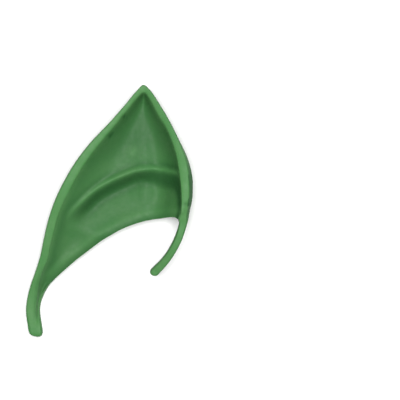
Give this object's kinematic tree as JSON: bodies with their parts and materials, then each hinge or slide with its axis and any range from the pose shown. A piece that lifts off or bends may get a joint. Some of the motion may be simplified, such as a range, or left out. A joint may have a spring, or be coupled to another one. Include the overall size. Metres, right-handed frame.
{
  "type": "elf ear tip",
  "caption": "Pointed latex ear tip with a rolled rim and a folded bowl, a pocket behind for the wearer's ear, a tail and a hook.",
  "frame": {"origin": "centre of the bounding box in X and Y, on the table that the back lies on", "axes": "+X towards the face, +Y towards the point, +Z out of the front"},
  "size_m": [0.0664, 0.1, 0.028],
  "materials": {
    "latex": "matt cast latex"
  },
  "bodies": {
    "root": {"ear_tip": "latex"}
  },
  "joints": []
}
